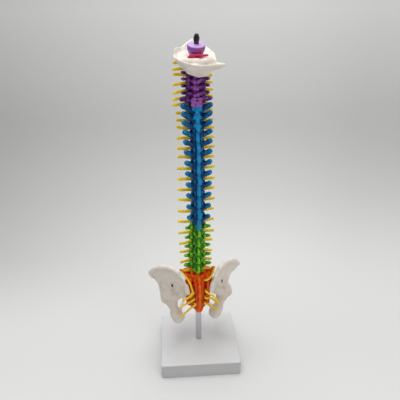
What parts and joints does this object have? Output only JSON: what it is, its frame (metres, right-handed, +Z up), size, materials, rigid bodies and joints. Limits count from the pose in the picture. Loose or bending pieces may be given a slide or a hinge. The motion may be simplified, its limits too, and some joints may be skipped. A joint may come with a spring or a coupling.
{
  "type": "spine anatomy model",
  "caption": "Coloured teaching model of the human spine with hip bones, back of the skull, nerve roots and discs, standing on a rod in a square white board.",
  "frame": {"origin": "centre of the underside of the base board, on the table", "axes": "+Z up along the support rod, -Y the side the spinous processes face, +X the model's own right"},
  "size_m": [0.1358, 0.112, 0.4498],
  "materials": {
    "board": "white, slightly satin",
    "rod": "bright, polished",
    "sacral": "semi-gloss orange red",
    "bone": "ivory, satin",
    "disc": "pale grey, satin",
    "screw": "dull steel",
    "nerve": "semi-gloss yellow",
    "stem": "semi-gloss lilac",
    "artery": "semi-gloss crimson",
    "nut": "black, glossy",
    "cervical": "semi-gloss purple",
    "thoracic": "semi-gloss blue",
    "lumbar": "semi-gloss green"
  },
  "bodies": {
    "root": {"arteries": "artery", "atlas_c1": "cervical", "axis_c2": "cervical", "base_board": "board", "brain_stem": "stem", "cap_nut": "nut", "cord_and_roots": "nerve", "disc_c2_c3": "disc", "disc_c3_c4": "disc", "disc_c4_c5": "disc", "disc_c5_c6": "disc", "disc_c6_c7": "disc", "disc_c7_t1": "disc", "disc_l1_l2": "disc", "disc_l2_l3": "disc", "disc_l3_l4": "disc", "disc_l4_l5": "disc", "disc_l5_s1": "disc", "disc_t10_t11": "disc", "disc_t11_t12": "disc", "disc_t12_l1": "disc", "disc_t1_t2": "disc", "disc_t2_t3": "disc", "disc_t3_t4": "disc", "disc_t4_t5": "disc", "disc_t5_t6": "disc", "disc_t6_t7": "disc", "disc_t7_t8": "disc", "disc_t8_t9": "disc", "disc_t9_t10": "disc", "hip_bone_left": "bone", "hip_bone_right": "bone", "hip_screws": "screw", "occipital_bone": "bone", "pubic_disc": "disc", "sacral_roots": "nerve", "sacrum": "sacral", "support_rod": "rod", "vertebra_c3": "cervical", "vertebra_c4": "cervical", "vertebra_c5": "cervical", "vertebra_c6": "cervical", "vertebra_c7": "cervical", "vertebra_l1": "lumbar", "vertebra_l2": "lumbar", "vertebra_l3": "lumbar", "vertebra_l4": "lumbar", "vertebra_l5": "lumbar", "vertebra_t1": "thoracic", "vertebra_t10": "thoracic", "vertebra_t11": "thoracic", "vertebra_t12": "thoracic", "vertebra_t2": "thoracic", "vertebra_t3": "thoracic", "vertebra_t4": "thoracic", "vertebra_t5": "thoracic", "vertebra_t6": "thoracic", "vertebra_t7": "thoracic", "vertebra_t8": "thoracic", "vertebra_t9": "thoracic"}
  },
  "joints": []
}
